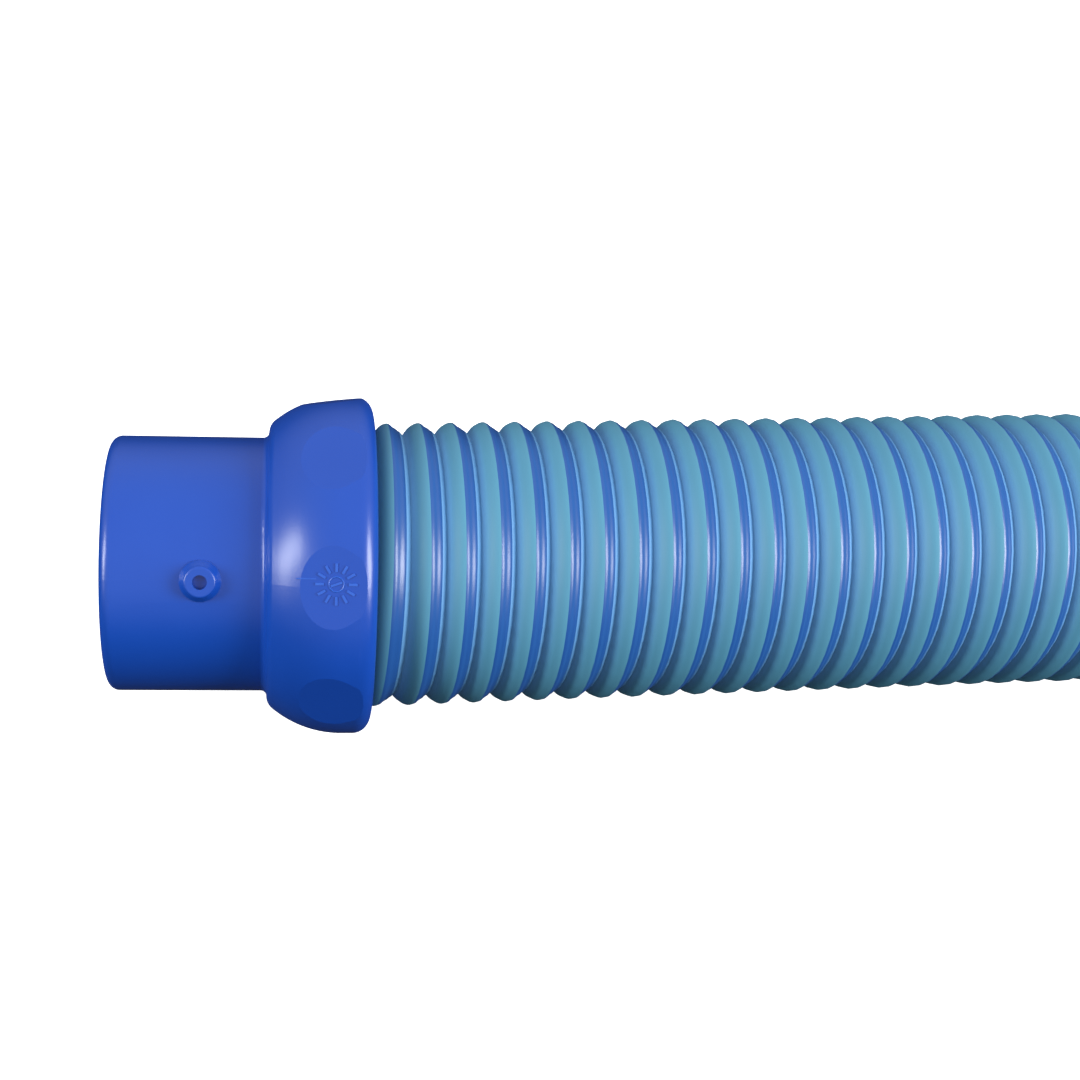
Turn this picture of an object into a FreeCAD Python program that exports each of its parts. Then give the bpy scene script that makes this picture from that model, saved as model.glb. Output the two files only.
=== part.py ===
import FreeCAD, Part
import math
import os
import Sketcher
from FreeCAD import Placement, Rotation, Vector

# One metre section of pool cleaner hose: a ribbed hose with a push-and-twist cuff on each end.
# +X runs along the hose from the male mouth to the female mouth, +Z is up, and the origin is
# the centre of the male mouth. The section lies on one grip flat of each collar.

DRIVING_SIZES = [
    ("section_length", 1000.0, "male mouth to female mouth"),
    ("hose_bore", 38.0, "inch and a half hose"),
    ("crease_wall", 2.8, "hose wall under the creases between the ribs"),
    ("rib_height", 3.2, "crease to crest"),
    ("rib_pitch", 5.8, "crest to crest, before it is fitted to the length"),
    ("band_thickness", 0.5, "of the blue band where it ends, above the wall that it covers"),
    ("spigot_wall", 3.25, "male end that pushes into the next section"),
    ("spigot_length", 27.2, "mouth to collar"),
    ("mouth_rounding", 1.9, "outer edge of the male mouth"),
    ("bore_chamfer", 0.6, "inner edge of the male mouth"),
    ("root_fillet", 1.0, "spigot into collar"),
    ("collar_wall", 4.55, "hose seat to the widest round, both collars"),
    ("collar_length", 18.0, "both grip collars"),
    ("widest_distance", 13.0, "collar shoulder to its widest round"),
    ("shoulder_rounding", 2.7, "shoulder of the male collar"),
    ("back_rounding", 3.0, "hose side of both collars"),
    ("lip_chamfer", 0.5, "edge where the hose enters a collar"),
    ("flat_count", 8.0, "grip flats round each collar"),
    ("flat_depth", 0.65, "of a flat, at the widest round"),
    ("flat_slope", 7.0, "degrees that a flat leans towards its mouth"),
    ("stop_thickness", 3.0, "stop inside a collar that the hose end meets"),
    ("seat_clearance", 0.1, "between a rib crest and its collar"),
    ("nub_distance", 16.5, "male mouth to the centre of a lock nub"),
    ("nub_base", 6.9, "across a lock nub at the spigot"),
    ("nub_top", 5.4, "across a lock nub at its top"),
    ("nub_height", 1.7, "nub above the spigot"),
    ("nub_rounding", 0.5, "top edge of a nub"),
    ("nub_dimple", 2.4, "across the dimple in a nub"),
    ("nub_dimple_depth", 1.2, "dimple in a nub"),
    ("nub_root", 1.0, "part of a nub inside the spigot wall"),
    ("lock_count", 2.0, "nubs on the male end, slots in the female end"),
    ("lock_side", 45.0, "degrees that the first nub leans forward from the top"),
    ("socket_clearance", 0.25, "between spigot and socket, each side"),
    ("end_clearance", 1.0, "between spigot end and socket floor"),
    ("sleeve_wall", 3.0, "female sleeve"),
    ("sleeve_rounding", 1.2, "outer edge of the female mouth"),
    ("sleeve_fillet", 0.5, "sleeve into female collar"),
    ("female_shoulder", 1.5, "shoulder rounding of the female collar"),
    ("socket_chamfer", 1.0, "lead-in of the socket"),
    ("slot_clearance", 0.3, "between nub and slot, each side"),
    ("lock_turn", 20.0, "degrees of twist that lock two sections"),
]
FULL_TURN = 360
HALF_TURN = 180
CUT_MARGIN = 2  # how far a cutting outline runs past the solid
ALONG = Vector(1, 0, 0)
UP = Vector(0, 0, 1)
NODES = ("male_cuff", "hose_wall", "hose_band", "female_cuff")

# Places within one rib, as shares of the pitch from the crease: the two ends of the broad crest,
# the outer edge of the blue band, where the band ends, and the foot of the slope that it covers.
# The climbs are shares of the rib's height.
CREST_START = 0.12
CREST_END = 0.52
BAND_EDGE = 0.60
BAND_END = 0.86
FOOT = 0.93
START_CLIMB = 0.92
EDGE_CLIMB = 0.95
FOOT_CLIMB = 0.30

doc = FreeCAD.newDocument("hose_section")
sizes = doc.addObject("Spreadsheet::Sheet", "sizes")
for row, (alias, number, note) in enumerate(DRIVING_SIZES, start=1):
    sizes.set(f"A{row}", note)
    sizes.set(f"B{row}", str(number))
    sizes.setAlias(f"B{row}", alias)
doc.recompute()


class Size:
    """A length or an angle with its number and the formula that keeps it tied to the sheet."""

    def __init__(self, number, formula):
        self.number = number
        self.formula = formula

    def joined(self, sign, other, number):
        return Size(number, f"({self.formula} {sign} {as_size(other).formula})")

    def __add__(self, other):
        return self.joined("+", other, self.number + as_size(other).number)

    def __sub__(self, other):
        return self.joined("-", other, self.number - as_size(other).number)

    def __mul__(self, other):
        return self.joined("*", other, self.number * as_size(other).number)

    def __truediv__(self, other):
        return self.joined("/", other, self.number / as_size(other).number)


def as_size(value):
    return value if isinstance(value, Size) else Size(value, str(value))


def size(alias):
    return Size(float(getattr(sizes, alias)), f"sizes.{alias}")


def tangent(angle):
    return Size(math.tan(math.radians(angle.number)), f"tan({angle.formula} * 1 deg)")


ORIGIN = Size(0, "0")
bore_radius = size("hose_bore") / 2
crease_radius = bore_radius + size("crease_wall")
crest_radius = crease_radius + size("rib_height")
seat_radius = crest_radius + size("seat_clearance")
collar_radius = seat_radius + size("collar_wall")
spigot_radius = bore_radius + size("spigot_wall")
socket_radius = spigot_radius + size("socket_clearance")
sleeve_radius = socket_radius + size("sleeve_wall")
socket_depth = size("spigot_length") + size("end_clearance")
cut_through = collar_radius * 2
slot_half = size("nub_base") / 2 + size("slot_clearance")
lock_distance = size("spigot_length") - size("nub_distance")
hose_start = size("spigot_length") + size("stop_thickness")
hose_end = size("section_length") - socket_depth - size("stop_thickness")


def origin_plane(body, role):
    return next(plane for plane in body.Origin.OriginFeatures if plane.Role == role)


def arc_between(start, end, radius, turn):
    """The shorter arc from start to end, turning left (1) or right (-1)."""
    chord = end - start
    reach = math.sqrt(radius**2 - (chord.Length / 2) ** 2)
    sideways = Vector(-chord.y, chord.x, 0).normalize() * reach * turn
    centre = start + chord * 0.5 + sideways
    first, last = (start, end) if turn > 0 else (end, start)
    angles = [math.atan2(point.y - centre.y, point.x - centre.x) for point in (first, last)]
    return Part.ArcOfCircle(Part.Circle(centre, UP, radius), *angles)


def bound(sketch, constraint, target):
    sketch.setExpression(f"Constraints[{sketch.addConstraint(constraint)}]", target.formula)


def outline(body, name, role, corners, shift=None):
    """A closed sketch on an origin plane. Each corner is (across, up), or (across, up, radius, turn)
    where an arc of that radius leads to the next corner. A shift moves the sketch across."""
    sketch = body.newObject("Sketcher::SketchObject", name)
    sketch.AttachmentSupport = [(origin_plane(body, role), "")]
    sketch.MapMode = "FlatFace"
    points = [Vector(corner[0].number, corner[1].number, 0) for corner in corners]
    ends = []
    for number, corner in enumerate(corners):
        start, end = points[number], points[(number + 1) % len(points)]
        if len(corner) == 2:
            edge = sketch.addGeometry(Part.LineSegment(start, end))
            ends.append((edge, 1, 2))
        else:
            edge = sketch.addGeometry(arc_between(start, end, corner[2].number, corner[3]))
            ends.append((edge, 1, 2) if corner[3] > 0 else (edge, 2, 1))
    for number, (edge, first, last) in enumerate(ends):
        following = ends[(number + 1) % len(ends)]
        sketch.addConstraint(Sketcher.Constraint("Coincident", edge, last, following[0], following[1]))
        across, up = corners[number][:2]
        sideways = Sketcher.Constraint("DistanceX", -1, 1, edge, first, across.number)
        upwards = Sketcher.Constraint("DistanceY", -1, 1, edge, first, up.number)
        bound(sketch, sideways, across)
        bound(sketch, upwards, up)
        if len(corners[number]) > 2:
            radius = corners[number][2]
            bound(sketch, Sketcher.Constraint("Radius", edge, radius.number), radius)
    if shift:
        sketch.setExpression("AttachmentOffset.Base.x", shift.formula)
    return sketch


def turned(body, name, sketch, kind="PartDesign::Revolution", axis="H_Axis", angle=None):
    """A sketch turned about one of its own axes, as a solid or as a cut."""
    feature = body.newObject(kind, name)
    feature.Profile = (sketch, [""])
    feature.ReferenceAxis = (sketch, [axis])
    feature.Angle = FULL_TURN
    if angle:
        feature.setExpression("Angle", angle.formula)
    return feature


def pocket(body, name, sketch, both_ways):
    """A sketch cut right through along its normal, to one side or to both."""
    feature = body.newObject("PartDesign::Pocket", name)
    feature.Profile = (sketch, [""])
    feature.SideType = "Symmetric" if both_ways else "One side"
    feature.Reversed = not both_ways
    feature.setExpression("Length", cut_through.formula)
    return feature


def repeated(body, name, features, sketch, count):
    """Features repeated round the cuff's axis."""
    pattern = body.newObject("PartDesign::PolarPattern", name)
    pattern.Originals = features
    pattern.Axis = (sketch, ["H_Axis"])
    pattern.Angle = FULL_TURN
    pattern.setExpression("Occurrences", count.formula)
    body.Tip = pattern
    return pattern


def collar_corners(start, neck_radius, fillet, rounding):
    """The outline of a grip collar that starts at a distance from the mouth. Its shoulder runs
    tangent into a long barrel, which is level at the widest round."""
    shoulder_radius = neck_radius + fillet
    rise = collar_radius - rounding - shoulder_radius
    reach = size("widest_distance") - rounding
    centres_apart = (rise * rise + reach * reach) / (rise * 2)
    barrel_radius = centres_apart + rounding
    share = barrel_radius / centres_apart
    widest = start + size("widest_distance")
    back = start + size("collar_length")
    meet_across = widest - reach * share
    meet_up = collar_radius - barrel_radius + (centres_apart - rise) * share
    return [
        (start - fillet, neck_radius, fillet, 1),
        (start, shoulder_radius, rounding, -1),
        (meet_across, meet_up, barrel_radius, -1),
        (widest, collar_radius),
        (back - size("back_rounding"), collar_radius, size("back_rounding"), -1),
        (back, collar_radius - size("back_rounding")),
        (back, seat_radius + size("lip_chamfer")),
        (back - size("lip_chamfer"), seat_radius),
        (start + size("stop_thickness"), seat_radius),
        (start + size("stop_thickness"), bore_radius),
    ]


def cut_grip_flats(body, start):
    """Flats round a collar, each leaning a little towards the mouth."""
    near, far = start, start + size("collar_length") + CUT_MARGIN
    lean = tangent(size("flat_slope"))
    widest = start + size("widest_distance")
    top = collar_radius + CUT_MARGIN
    flat_distance = collar_radius - size("flat_depth")
    corners = [
        (near, flat_distance - (widest - near) * lean),
        (far, flat_distance + (far - widest) * lean),
        (far, top),
        (near, top),
    ]
    sketch = outline(body, f"{body.Name}_flat_outline", "XZ_Plane", corners)
    flat = pocket(body, f"{body.Name}_flat", sketch, True)
    return repeated(body, f"{body.Name}_flats", [flat], sketch, size("flat_count"))


def make_male_cuff():
    """Spigot, grip collar, hose seat and lock nubs, moulded in one piece."""
    body = doc.addObject("PartDesign::Body", "male_cuff")
    mouth_rounding = size("mouth_rounding")
    chamfer = size("bore_chamfer")
    spigot_length = size("spigot_length")
    corners = [
        (ORIGIN, bore_radius + chamfer),
        (ORIGIN, spigot_radius - mouth_rounding, mouth_rounding, -1),
        (mouth_rounding, spigot_radius),
    ]
    fillet, shoulder = size("root_fillet"), size("shoulder_rounding")
    corners += collar_corners(spigot_length, spigot_radius, fillet, shoulder)
    corners += [(chamfer, bore_radius)]
    turned(body, "male_cuff_turned", outline(body, "male_cuff_outline", "XZ_Plane", corners))
    cut_grip_flats(body, spigot_length)

    top = spigot_radius + size("nub_height")
    nub_rounding = size("nub_rounding")
    dimple_floor = top - size("nub_dimple_depth")
    nub_corners = [
        (ORIGIN, spigot_radius - size("nub_root")),
        (size("nub_base") / 2, spigot_radius - size("nub_root")),
        (size("nub_base") / 2, spigot_radius),
        (size("nub_top") / 2, top - nub_rounding, nub_rounding, 1),
        (size("nub_top") / 2 - nub_rounding, top),
        (size("nub_dimple") / 2, top),
        (size("nub_dimple") / 2, dimple_floor),
        (ORIGIN, dimple_floor),
    ]
    nub_sketch = outline(body, "nub_outline", "XZ_Plane", nub_corners, size("nub_distance"))
    nub = turned(body, "nub", nub_sketch, axis="V_Axis")
    repeated(body, "nubs", [nub], nub_sketch, size("lock_count"))
    body.Placement.Rotation = Rotation(ALONG, size("lock_side").number)
    return body


def slot_round(body, name, turn):
    """The round end of a lock slot, cut through the sleeve after a turn about its axis."""
    sketch = body.newObject("Sketcher::SketchObject", f"{name}_outline")
    sketch.AttachmentSupport = [(origin_plane(body, "XY_Plane"), "")]
    sketch.MapMode = "FlatFace"
    circle = sketch.addGeometry(Part.Circle(Vector(lock_distance.number, 0, 0), UP, slot_half.number))
    sketch.addConstraint(Sketcher.Constraint("PointOnObject", circle, 3, -1))
    along = Sketcher.Constraint("DistanceX", -1, 1, circle, 3, lock_distance.number)
    bound(sketch, along, lock_distance)
    bound(sketch, Sketcher.Constraint("Radius", circle, slot_half.number), slot_half)
    sketch.AttachmentOffset = Placement(Vector(0, 0, 0), Rotation(ALONG, 1))
    sketch.setExpression("AttachmentOffset.Rotation.Angle", turn.formula)
    return pocket(body, name, sketch, False)


def make_female_cuff():
    """Socket sleeve with its lock slots, grip collar and hose seat. It is drawn from its own mouth
    inwards and then turned to face the other way at the far end."""
    body = doc.addObject("PartDesign::Body", "female_cuff")
    mouth_rounding = size("sleeve_rounding")
    chamfer = size("socket_chamfer")
    corners = [
        (ORIGIN, socket_radius + chamfer),
        (ORIGIN, sleeve_radius - mouth_rounding, mouth_rounding, -1),
        (mouth_rounding, sleeve_radius),
    ]
    fillet, shoulder = size("sleeve_fillet"), size("female_shoulder")
    corners += collar_corners(socket_depth, sleeve_radius, fillet, shoulder)
    corners += [(socket_depth, bore_radius), (socket_depth, socket_radius), (chamfer, socket_radius)]
    turned(body, "female_cuff_turned", outline(body, "female_cuff_outline", "XZ_Plane", corners))
    cut_grip_flats(body, socket_depth)

    before_mouth = ORIGIN - CUT_MARGIN
    entry_corners = [
        (before_mouth, ORIGIN - slot_half),
        (lock_distance, ORIGIN - slot_half),
        (lock_distance, slot_half),
        (before_mouth, slot_half),
    ]
    entry_sketch = outline(body, "slot_entry_outline", "XY_Plane", entry_corners)
    entry = pocket(body, "slot_entry", entry_sketch, False)
    turn_corners = [
        (lock_distance - slot_half, socket_radius - CUT_MARGIN),
        (lock_distance + slot_half, socket_radius - CUT_MARGIN),
        (lock_distance + slot_half, sleeve_radius + CUT_MARGIN),
        (lock_distance - slot_half, sleeve_radius + CUT_MARGIN),
    ]
    turn_sketch = outline(body, "slot_turn_outline", "XZ_Plane", turn_corners)
    turn = turned(body, "slot_turn", turn_sketch, "PartDesign::Groove", angle=size("lock_turn"))
    corner = slot_round(body, "slot_corner", ORIGIN)
    end = slot_round(body, "slot_end", size("lock_turn"))
    repeated(body, "slots", [entry, turn, corner, end], turn_sketch, size("lock_count"))
    body.setExpression("Placement.Base.x", size("section_length").formula)
    lean = Rotation(ALONG, -size("lock_side").number)
    body.Placement.Rotation = Rotation(UP, HALF_TURN) * lean
    return body


def rib_stations(start, pitch):
    """Distance and radius at the four circles of one rib: the crease, both ends of the crest, and
    the foot of the slope under the band."""
    crease, height = crease_radius.number, size("rib_height").number
    return [
        (start, crease),
        (start + CREST_START * pitch, crease + START_CLIMB * height),
        (start + CREST_END * pitch, crease + height),
        (start + FOOT * pitch, crease + FOOT_CLIMB * height),
    ]


def band_ring(start, pitch):
    """One ring of the blue band. It starts flush with the crest and covers the slope behind it."""
    crease, height = crease_radius.number, size("rib_height").number
    crest, foot = (Vector(distance, 0, radius) for distance, radius in rib_stations(start, pitch)[2:])
    share = (BAND_END - CREST_END) / (FOOT - CREST_END)
    bottom = crest + (foot - crest) * share
    top = bottom + UP * size("band_thickness").number
    edge = Vector(start + BAND_EDGE * pitch, 0, crease + EDGE_CLIMB * height)
    face = Part.Face(Part.makePolygon([crest, edge, top, bottom, crest]))
    return face.revolve(Vector(0, 0, 0), ALONG, FULL_TURN)


def make_hose():
    """The ribbed wall, and the blue band that covers the slope behind the crest of every rib. The
    wound ribs are drawn as closed ones, a whole number of them between the two stops."""
    length = hose_end.number - hose_start.number
    count = round(length / size("rib_pitch").number)
    pitch = length / count
    stations = []
    bands = []
    for number in range(count):
        start = hose_start.number + number * pitch
        stations += rib_stations(start, pitch)
        bands.append(band_ring(start, pitch))
    stations.append((hose_end.number, crease_radius.number))
    circles = [Part.Wire(Part.Circle(Vector(x, 0, 0), ALONG, r).toShape()) for x, r in stations]
    outside = Part.makeLoft(circles, True, True)
    bore = Part.makeCylinder(bore_radius.number, length, Vector(hose_start.number, 0, 0), ALONG)
    wall = doc.addObject("Part::Feature", "hose_wall")
    wall.Shape = outside.cut(bore)
    band = doc.addObject("Part::Feature", "hose_band")
    band.Shape = Part.makeCompound(bands)
    print(f"hose: {count} ribs, pitch {pitch:.3f} mm, {length:.1f} mm long")
    return wall, band


def check(thing):
    """Stops the build if an object failed, has no sound shape, or is a cut that cuts nothing."""
    if "Invalid" in thing.State or "Error" in thing.State:
        raise RuntimeError(f"{thing.Label} failed: {thing.State}")
    if thing.Name in NODES and (thing.Shape.isNull() or not thing.Shape.isValid()):
        raise RuntimeError(f"{thing.Label} has no sound shape")
    if thing.TypeId in ("PartDesign::Pocket", "PartDesign::Groove"):
        if thing.Shape.Volume >= thing.BaseFeature.Shape.Volume:
            raise RuntimeError(f"{thing.Label} cuts nothing")


make_male_cuff()
make_female_cuff()
make_hose()
doc.recompute()
os.makedirs("parts", exist_ok=True)
for thing in doc.Objects:
    check(thing)
for name in NODES:
    shape = doc.getObject(name).Shape
    shape.exportStep(f"parts/{name}.step")
    print(f"{name}: {len(shape.Solids)} solids, {shape.Volume / 1000:.2f} cm3")
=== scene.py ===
# %% [markdown]
# # A pool vacuum hose section
#
# The object is one metre of ribbed suction hose with a moulded cuff glued on each end. The packed
# CAD model is the frame: it says where everything is. This lesson builds the looks round it, in
# this order: the camera, the hose, the small moulded marks on the cuff, the finishes, and last the
# floor and the lights.

import math

import bpy
from mathutils import Matrix, Vector


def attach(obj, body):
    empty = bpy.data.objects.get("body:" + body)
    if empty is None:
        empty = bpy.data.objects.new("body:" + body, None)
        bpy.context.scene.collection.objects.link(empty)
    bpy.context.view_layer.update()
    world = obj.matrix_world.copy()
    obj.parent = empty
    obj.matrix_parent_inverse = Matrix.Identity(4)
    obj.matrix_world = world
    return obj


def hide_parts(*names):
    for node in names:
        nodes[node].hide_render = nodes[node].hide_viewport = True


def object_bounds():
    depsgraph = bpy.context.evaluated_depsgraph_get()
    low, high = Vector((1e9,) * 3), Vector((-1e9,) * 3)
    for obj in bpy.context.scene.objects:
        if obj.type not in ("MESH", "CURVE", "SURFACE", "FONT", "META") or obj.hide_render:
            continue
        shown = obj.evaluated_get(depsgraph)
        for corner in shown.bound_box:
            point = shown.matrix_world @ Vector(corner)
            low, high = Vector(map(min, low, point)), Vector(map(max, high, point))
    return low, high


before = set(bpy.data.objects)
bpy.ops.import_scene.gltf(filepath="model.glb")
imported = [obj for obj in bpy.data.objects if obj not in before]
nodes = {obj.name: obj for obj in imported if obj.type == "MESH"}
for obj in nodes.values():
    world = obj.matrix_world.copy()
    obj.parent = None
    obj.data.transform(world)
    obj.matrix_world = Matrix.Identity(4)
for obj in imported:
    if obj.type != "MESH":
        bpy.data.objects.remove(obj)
cad_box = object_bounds()
mm = 0.001
print("CAD box in mm:", [[round(v / mm, 2) for v in corner] for corner in cad_box])

# %% [markdown]
# ## Camera
#
# The photograph looks down on the hose at about 51 degrees from 290 mm away, and it is rolled by
# 7 degrees so that the hose lies nearly level in the picture. The mouth of the cuff bulges only a
# little, as it does when it is nearly in front of the lens, though it lies at the picture's left
# edge. So the picture is the right-hand part of a larger one, and the lens is shifted by a tenth of
# the frame instead of being turned. The vectors below are the camera's own axes in the part's frame.
# A matrix is used instead of an aim constraint, because a constraint can't hold the roll.

# %% Stand the camera at the photograph's place
camera_data = bpy.data.cameras.new("camera")
camera = bpy.data.objects.new("camera", camera_data)
bpy.context.scene.collection.objects.link(camera)
bpy.context.scene.camera = camera
camera_data.sensor_width = 36
camera_data.lens = 53.7
camera_data.shift_x = 0.108
camera_data.shift_y = -0.012
camera_data.clip_start = 0.01
camera_data.clip_end = 10

camera_place = Vector((30.6, -173.9, 226.7)) * mm
camera_right = Vector((0.99641, -0.04403, 0.07226))
camera_up = Vector((-0.011, 0.77929, 0.62657))
camera_back = camera_right.cross(camera_up)
turn = Matrix((camera_right, camera_up, camera_back)).transposed()
camera.matrix_world = Matrix.Translation(camera_place) @ turn.to_4x4()
print("camera height above the hose's axis, mm:", round(camera_place.z / mm, 1))

# %% [markdown]
# ## The hose's route
#
# The hose is pushed 15 mm into each collar, so its ends are held on the axis. Between them it is
# free. As in the photograph, it leaves the collar 3 degrees off its axis, away from the camera, and
# runs straight as far as the picture shows it. Past that it eases back to the axis, and it sags the
# last few millimetres to the floor, because its ribs are smaller than the collars. A NURBS curve
# with a few control points gives one smooth line. A Bezier curve needs two handles at
# each of them, and a handle that is a little off shows as a kink in the ribs.

# %% Draw the route as a smooth curve
def select_only(*objects):
    """Deselect everything, then select these objects and make the first one active."""
    bpy.ops.object.select_all(action="DESELECT")
    for piece in objects:
        piece.select_set(True)
    bpy.context.view_layer.objects.active = objects[0]


route_points_mm = [
    (30.2, 0.0, 0.0),
    (38.0, 0.0, 0.0),
    (46.0, 0.0, 0.0),
    (60.0, 0.8, -0.2),
    (90.0, 2.4, -0.6),
    (130.0, 4.5, -1.1),
    (170.0, 6.7, -1.6),
    (215.0, 8.7, -2.2),
    (270.0, 9.7, -2.8),
    (330.0, 9.0, -3.7),
    (395.0, 6.8, -4.1),
    (465.0, 4.2, -4.2),
    (540.0, 2.0, -4.2),
    (620.0, 0.7, -4.1),
    (700.0, 0.1, -3.8),
    (780.0, 0.0, -3.0),
    (850.0, 0.0, -1.6),
    (910.0, 0.0, -0.5),
    (952.0, 0.0, 0.0),
    (961.0, 0.0, 0.0),
    (968.8, 0.0, 0.0),
]
route_data = bpy.data.curves.new("hose_route", "CURVE")
route_data.dimensions = "3D"
route_data.twist_mode = "Z_UP"
route_data.resolution_u = 24
spline = route_data.splines.new("NURBS")
spline.points.add(len(route_points_mm) - 1)
for point, place in zip(spline.points, route_points_mm):
    point.co = (*(Vector(place) * mm), 1.0)
spline.order_u = 3
spline.use_endpoint_u = True
route = bpy.data.objects.new("hose_route", route_data)
bpy.context.scene.collection.objects.link(route)

line = bpy.data.meshes.new_from_object(route)
hose_line = [vertex.co.copy() for vertex in line.vertices]
bpy.data.meshes.remove(line)
hose_length = sum((b - a).length for a, b in zip(hose_line, hose_line[1:]))
print("the hose's line has", len(hose_line), "points and is", round(hose_length / mm, 1), "mm long")

# %% [markdown]
# ## The ribbed wall
#
# The real wall is one extruded strip that is wound left-handed on a drum and welded to itself, so
# the ribs are a helix and not rings. The same winding is done here: one rib's section is drawn as a
# line of points, and the Screw modifier winds it about the axis, 5.8 mm forward for each turn. A
# Curve modifier then bends the straight tube along the route. Rings in an array would be easier,
# but the slant of the ribs would be missing, and the outline would be the same above and below,
# where the photograph has each crest above a crease.

# %% Wind a section into a straight helix
rib_pitch = 5.8 * mm
crest_radius = 25.0 * mm
facing_angle = math.radians(128.8)
first_crease = 49.9 * mm - 30.2 * mm
turns = math.ceil(hose_length / rib_pitch) + 2
steps_per_turn = 42


def wind(name, section_mm, closed):
    """Wind a section, points of (share of the pitch from a crease, depth under the crest, painted
    light).
    """
    start = first_crease - rib_pitch * (math.ceil(first_crease / rib_pitch) + 1)
    verts = []
    for share, depth, pale in section_mm:
        radius = crest_radius - depth * mm
        y, z = radius * math.cos(facing_angle), radius * math.sin(facing_angle)
        verts.append((start + share * rib_pitch, y, z))
    count = len(verts)
    edges = [(i, i + 1) for i in range(count - 1)] + ([(count - 1, 0)] if closed else [])
    mesh = bpy.data.meshes.new(name)
    mesh.from_pydata(verts, edges, [])
    tube = bpy.data.objects.new(name, mesh)
    bpy.context.scene.collection.objects.link(tube)
    select_only(tube)
    winding = tube.modifiers.new("winding", "SCREW")
    winding.axis = "X"
    winding.angle = -2 * math.pi
    winding.screw_offset = rib_pitch
    winding.iterations = turns + 1
    winding.steps = winding.render_steps = steps_per_turn
    winding.use_normal_calculate = True
    bpy.ops.object.modifier_apply(modifier="winding")
    # Painted light: each point carries how much paler the wall is painted at the lip and crease.
    painted_light = tube.data.attributes.new("painted_light", "FLOAT", "POINT")
    turned = range(len(tube.data.vertices))
    painted_light.data.foreach_set("value", [section_mm[i % count][2] for i in turned])
    return tube


def cut_and_bend(tube):
    """Cut a wound tube square at both ends, close it, and bend it along the route."""
    select_only(tube)
    bpy.ops.object.mode_set(mode="EDIT")
    bpy.ops.mesh.select_all(action="SELECT")
    bpy.ops.mesh.remove_doubles(threshold=0.00001)
    for place, away in ((0.0, -1), (hose_length, 1)):
        bpy.ops.mesh.select_all(action="SELECT")
        cut = {"plane_co": (place, 0, 0), "plane_no": (away, 0, 0)}
        bpy.ops.mesh.bisect(use_fill=True, clear_outer=True, **cut)
    bpy.ops.mesh.select_all(action="SELECT")
    bpy.ops.mesh.normals_make_consistent(inside=False)
    bpy.ops.object.mode_set(mode="OBJECT")
    bend = tube.modifiers.new("bend", "CURVE")
    bend.object = route
    bend.deform_axis = "POS_X"
    bpy.ops.object.modifier_apply(modifier="bend")
    bpy.ops.object.shade_smooth_by_angle(angle=math.radians(40))
    print(tube.name, "has", sum(len(face.vertices) - 2 for face in tube.data.polygons), "triangles")


# %% [markdown]
# One rib climbs from its crease in a long flank to a flat crest, and falls again in a slope with a
# small step in it. The blue band covers the slope. It meets the right-hand light at two places, the
# crest and the step, so every rib has two thin bright lines. Past the band the wall shows as a pale
# lip, and the next crease follows. The places along the rib were read off the photograph. The crease
# is 2.1 mm deep here and 3.2 mm in the solids: the deeper one is far darker in this opaque plastic
# than in the real one, and 2.1 mm already gives notches at the outline about as deep as the
# photograph's. The third number says how pale the wall is. It stands in for the light that comes
# through the real lip and crease, and the finish reads it from the mesh.

# %% The sections, from one crease to the next
# The third column is painted light, a paler tone at the lip and in the crease.
wall_outside = [
    (0.00, 2.10, 0.9),
    (0.06, 1.78, 0.8),
    (0.13, 1.24, 0.4),
    (0.20, 0.78, 0.1),
    (0.28, 0.41, 0.0),
    (0.37, 0.14, 0.0),
    (0.46, 0.01, 0.0),
    (0.51, 0.01, 0.0),
    (0.53, 0.45, 0.0),
    (0.84, 1.70, 0.6),
    (0.86, 1.36, 1.0),
    (0.90, 1.44, 1.0),
    (0.95, 1.74, 0.9),
    (1.00, 2.10, 0.9),
]
wall_inside = [(0.0, 6.0, 0.0), (1.0, 6.0, 0.0)]
band_section = [
    (0.51, 0.01, 0.0),
    (0.55, 0.06, 0.0),
    (0.59, 0.17, 0.0),
    (0.63, 0.35, 0.0),
    (0.67, 0.57, 0.0),
    (0.71, 0.74, 0.0),
    (0.75, 0.86, 0.0),
    (0.79, 0.99, 0.0),
    (0.83, 1.18, 0.0),
    (0.86, 1.36, 0.0),
    (0.84, 1.70, 0.0),
    (0.53, 0.45, 0.0),
]

# %% Make the wall
outside = wind("outside", wall_outside, False)
inside = wind("inside", wall_inside, False)
select_only(outside, inside)
bpy.ops.object.join()
outside.name = "ribbed_wall"
hose_wall = outside
cut_and_bend(hose_wall)
print("wall box mm", [round(v / mm, 2) for v in hose_wall.dimensions])

# %% Make the band
hose_band = wind("blue_band", band_section, True)
cut_and_bend(hose_band)
print("band box mm", [round(v / mm, 2) for v in hose_band.dimensions])

# %% Attach them to the root and hide the CAD nodes they stand in for
for piece, node, slot in ((hose_wall, "hose_wall", "wall"), (hose_band, "hose_band", "band")):
    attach(piece, "root")
    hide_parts(node)
bpy.data.objects.remove(route)

# %% [markdown]
# ## Marks of the mould
#
# One grip flat carries the print of the mould's date dial: a ring of raised ticks round a small
# ring with a bar across it, a little paler than the cuff. It is kept plain,
# without figures. A faint seam runs to it from the collar's shoulder. All of it is drawn flat round
# the origin and then moved onto the flat, whose normal leans 7 degrees towards the mouth. Every
# mark sits half sunk in the flat, so no gap shows from the side.

# %% Draw the dial and the seam, and set them on the flat
def bar(centre, size, turn=0.0):
    """A thin bar in the flat's plane, all in mm."""
    bpy.ops.object.select_all(action="DESELECT")
    bpy.ops.mesh.primitive_cube_add(size=1, location=[v * mm for v in centre], rotation=(0, 0, turn))
    piece = bpy.context.object
    piece.scale = [v * mm for v in size]
    return piece


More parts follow.
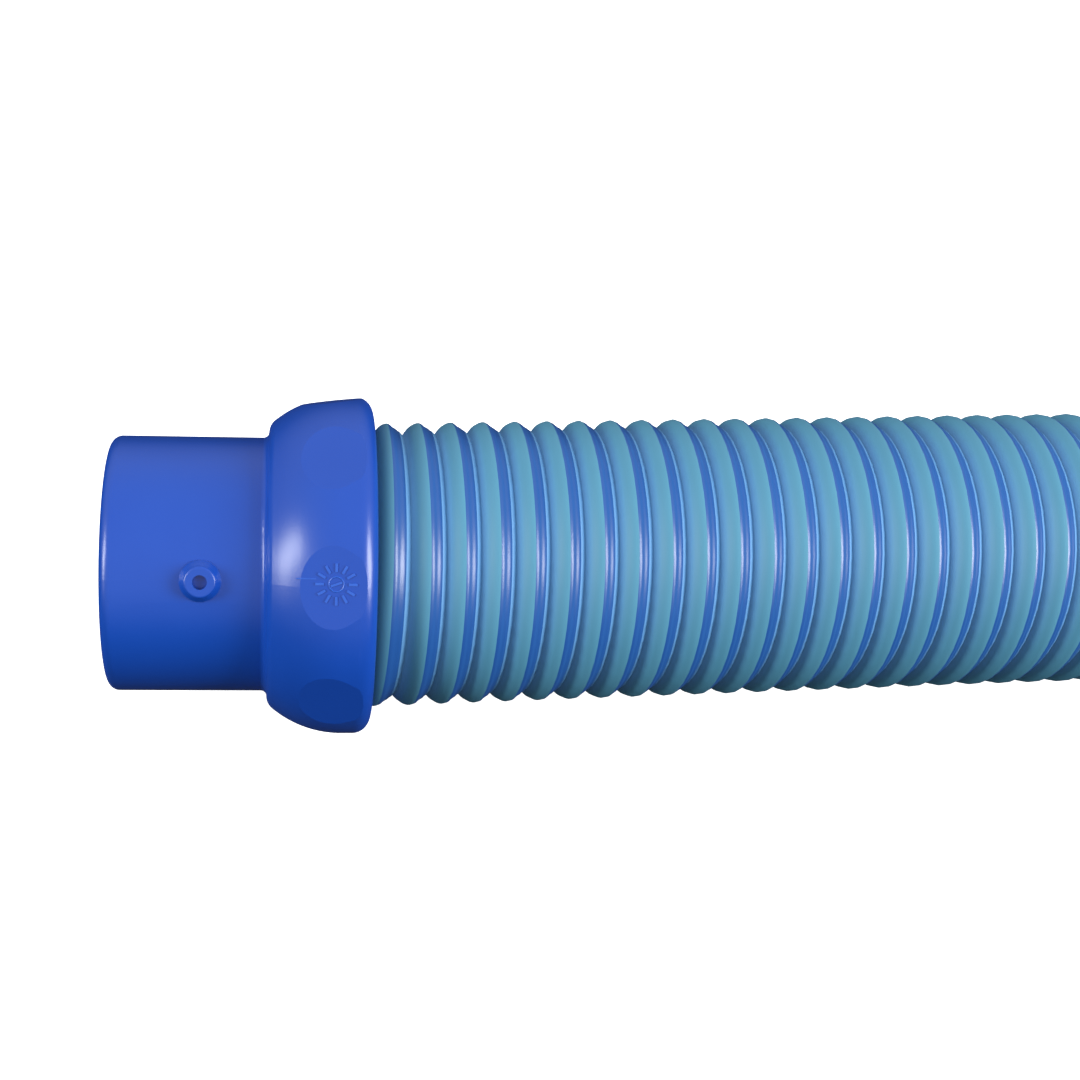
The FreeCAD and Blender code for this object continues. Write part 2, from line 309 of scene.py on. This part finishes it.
def ring(radius, wire):
    bpy.ops.object.select_all(action="DESELECT")
    bpy.ops.mesh.primitive_torus_add(
        major_radius=radius * mm, minor_radius=wire * mm, major_segments=48, minor_segments=8
    )
    return bpy.context.object


tick_count = 12
tick_radius = 2.7
tick_size = (1.4, 0.42, 0.30)
marks = [ring(1.2, 0.12), bar((0, 0, 0), (2.0, 0.36, 0.30), math.radians(20))]
for tick in range(tick_count):
    angle = tick / tick_count * 2 * math.pi
    place = (tick_radius * math.cos(angle), tick_radius * math.sin(angle), 0)
    marks.append(bar(place, tick_size, angle))
marks.append(bar((-4.9, 0.8, 0), (3.2, 0.18, 0.12)))
select_only(*marks)
bpy.ops.object.transform_apply(location=True, rotation=True, scale=True)
bpy.ops.object.join()
tick_dial = bpy.context.object
tick_dial.name = "tick_dial"

flat_normal = Vector((-0.122, -0.702, 0.702)).normalized()
along_flat = (Vector((1, 0, 0)) - flat_normal * flat_normal.x).normalized()
across_flat = flat_normal.cross(along_flat)
flat_frame = Matrix((along_flat, across_flat, flat_normal)).transposed().to_4x4()
dial_centre = Vector((38.45, -19.94, 20.77)) * mm
tick_dial.data.transform(Matrix.Translation(dial_centre) @ flat_frame)
select_only(tick_dial)
bpy.ops.object.shade_smooth_by_angle(angle=math.radians(40))
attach(tick_dial, "root")
print("dial and seam have", len(tick_dial.data.polygons), "faces")

# %% [markdown]
# ## Finishes
#
# Shader maths reads better as sums than as boxes and wires, so a socket is wrapped in a small class
# that adds a Math node for each operator.

# %% A wrapped socket, and one way to add a node
class Wire:
    """An output socket of a finish. Sums and products of wires add Math nodes."""

    def __init__(self, finish, socket):
        self.finish = finish
        self.socket = socket

    def maths(self, operation, first, second):
        return self.finish.node("Math", {"operation": operation}, {0: first, 1: second})

    def __add__(self, other):
        return self.maths("ADD", self, other)

    def __sub__(self, other):
        return self.maths("SUBTRACT", self, other)

    def __rsub__(self, other):
        return self.maths("SUBTRACT", other, self)

    def __mul__(self, other):
        return self.maths("MULTIPLY", self, other)

    __radd__ = __add__
    __rmul__ = __mul__


class Finish:
    """A material with its Principled shader."""

    def __init__(self, name):
        self.material = bpy.data.materials.new(name)
        self.material.use_nodes = True
        self.tree = self.material.node_tree
        self.shader = self.tree.nodes["Principled BSDF"]

    def plug(self, socket, value):
        if isinstance(value, Wire):
            self.tree.links.new(value.socket, socket)
        else:
            socket.default_value = value

    def node(self, kind, settings=None, inputs=None, output=0):
        node = self.tree.nodes.new("ShaderNode" + kind)
        for key, value in (settings or {}).items():
            setattr(node, key, value)
        for key, value in (inputs or {}).items():
            self.plug(node.inputs[key], value)
        return Wire(self, node.outputs[output])

    def surface(self, **values):
        for key, value in values.items():
            self.plug(self.shader.inputs[key.replace("_", " ")], value)


def colour(red, green, blue):
    """A colour picked in a picture, 0 to 255, as the light values a shader wants."""
    def light(value):
        value /= 255
        return value / 12.92 if value <= 0.04045 else ((value + 0.055) / 1.055) ** 2.4

    return (light(red), light(green), light(blue), 1.0)


# %% [markdown]
# Every plastic is the same recipe: two close tones in soft patches, a roughness that wanders a
# little with them, and a fine grain as bump. The wall also mixes in painted light: a paler tone
# at its thin lip and in its crease, by the number of painted light that was written in the mesh.

# %% Four finishes
grain_scale = 2500.0
roughness_spread = 0.08


def moulded(name, deep, pale, roughness, patch_mm, crease=None):
    finish = Finish(name)
    place = finish.node("TexCoord", output="Object")
    patches = {"Vector": place, "Scale": 1 / (patch_mm * mm), "Detail": 3.0}
    cloud = finish.node("TexNoise", {}, patches, "Fac")
    tint = finish.node("Mix", {"data_type": "RGBA"}, {"Factor": cloud, 6: deep, 7: pale}, 2)
    # The crease tone is painted light, mixed in by the number stored on the mesh.
    if crease:
        painted_light = finish.node("Attribute", {"attribute_name": "painted_light"}, output="Fac")
        tint = finish.node("Mix", {"data_type": "RGBA"}, {"Factor": painted_light, 6: tint, 7: crease}, 2)
    grain = finish.node("TexNoise", {}, {"Vector": place, "Scale": grain_scale, "Detail": 2.0}, "Fac")
    bump = finish.node("Bump", {}, {"Strength": 0.05, "Distance": 0.0002, "Height": grain})
    finish.surface(Base_Color=tint, Roughness=roughness + roughness_spread * (cloud - 0.5), Normal=bump)
    return finish.material


cuff_finish = moulded("cuff_blue", colour(14, 62, 156), colour(18, 69, 165), 0.30, 18)
# Painted light: the pale tone laid on the wall's lip and in its crease.
painted_lip_and_crease_light = colour(92, 148, 200)
wall_finish = moulded("wall_teal", colour(68, 130, 158), colour(75, 137, 165), 0.60, 14, painted_lip_and_crease_light)
mark_finish = moulded("mark_blue", colour(22, 74, 172), colour(44, 94, 190), 0.35, 2)
band_finish = moulded("band_blue", colour(27, 74, 140), colour(32, 81, 149), 0.33, 14)
for node in ("male_cuff", "female_cuff"):
    nodes[node].data.materials.clear()
    nodes[node].data.materials.append(cuff_finish)
hose_wall.data.materials.append(wall_finish)
hose_band.data.materials.append(band_finish)
tick_dial.data.materials.append(mark_finish)
print("finishes:", [material.name for material in bpy.data.materials])

# %% [markdown]
# ## Floor and lights
#
# The photograph is a studio picture on white. The cuff is bright on top and falls to half as bright
# underneath, so hardly any light comes back up from the floor. A real white floor would send much
# more, so this one is white for the camera but takes no part in the light on the hose: its diffuse
# and glossy visibility are off. It also glows, because the photograph's background has no shadow.
# The surroundings are bright above the horizon and dark below it.

# %% Lay the floor
bpy.ops.object.select_all(action="DESELECT")
bpy.ops.mesh.primitive_plane_add(size=8, location=(0.5, 0, cad_box[0].z))
floor = bpy.context.object
floor.name = "floor"
floor.visible_diffuse = False
floor.visible_glossy = False
floor_finish = Finish("floor_white")
floor_finish.surface(
    Base_Color=(0.8, 0.8, 0.8, 1.0), Roughness=0.9, Emission_Color=(1, 1, 1, 1), Emission_Strength=0.9
)
floor.data.materials.append(floor_finish.material)
print("floor at", round(floor.location.z / mm, 2), "mm")

# %% Surroundings that are bright above and dark below
world = bpy.data.worlds.new("surroundings")
bpy.context.scene.world = world
world.use_nodes = True
sky = world.node_tree
sky_place = sky.nodes.new("ShaderNodeTexCoord")
sky_split = sky.nodes.new("ShaderNodeSeparateXYZ")
sky_level = sky.nodes.new("ShaderNodeMapRange")
for name, value in (("From Min", -0.2), ("From Max", 0.5), ("To Min", 0.03), ("To Max", 0.85)):
    sky_level.inputs[name].default_value = value
sky.links.new(sky_place.outputs["Generated"], sky_split.inputs["Vector"])
sky.links.new(sky_split.outputs["Z"], sky_level.inputs["Value"])
sky.links.new(sky_level.outputs["Result"], sky.nodes["Background"].inputs["Strength"])
sky.nodes["Background"].inputs["Color"].default_value = (1, 1, 1, 1)
print("the surroundings have", len(sky.nodes), "nodes")

# %% [markdown]
# Two upright soft boxes stand left and right of the camera. A rib leans 20 to 25 degrees to the
# right where it shines, so the right box is about 60 degrees to the right. The bright lines run 14
# degrees up and down round the hose, and a mirror doubles that: the boxes are tall. They stand 1.8 m
# off, so that the light is even along the whole metre of hose.

# %% Two soft boxes
def soft_light(name, place, target, width, height, power):
    data = bpy.data.lights.new(name, "AREA")
    data.shape = "RECTANGLE"
    data.size = width
    data.size_y = height
    data.energy = power
    lamp = bpy.data.objects.new(name, data)
    bpy.context.scene.collection.objects.link(lamp)
    aim = Vector(place) - Vector(target)
    lamp.matrix_world = Matrix.Translation(place) @ aim.to_track_quat("Z", "Y").to_matrix().to_4x4()
    print(name, "is", round(aim.length, 2), "m from the hose")


middle = Vector((0.08, 0, 0))
facing = Vector((0, -0.63, 0.78))
rising = Vector((0, 0.78, 0.63))
right_place = middle + 0.90 * facing + Vector((1.56, 0, 0)) + 0.06 * rising
left_place = middle + 0.96 * facing + Vector((-1.65, 0, 0)) + 0.18 * rising
soft_light("right_box", right_place, middle, 0.66, 1.08, 41.0)
soft_light("left_box", left_place, middle, 0.54, 0.96, 29.0)
bpy.context.scene.view_settings.view_transform = "Standard"
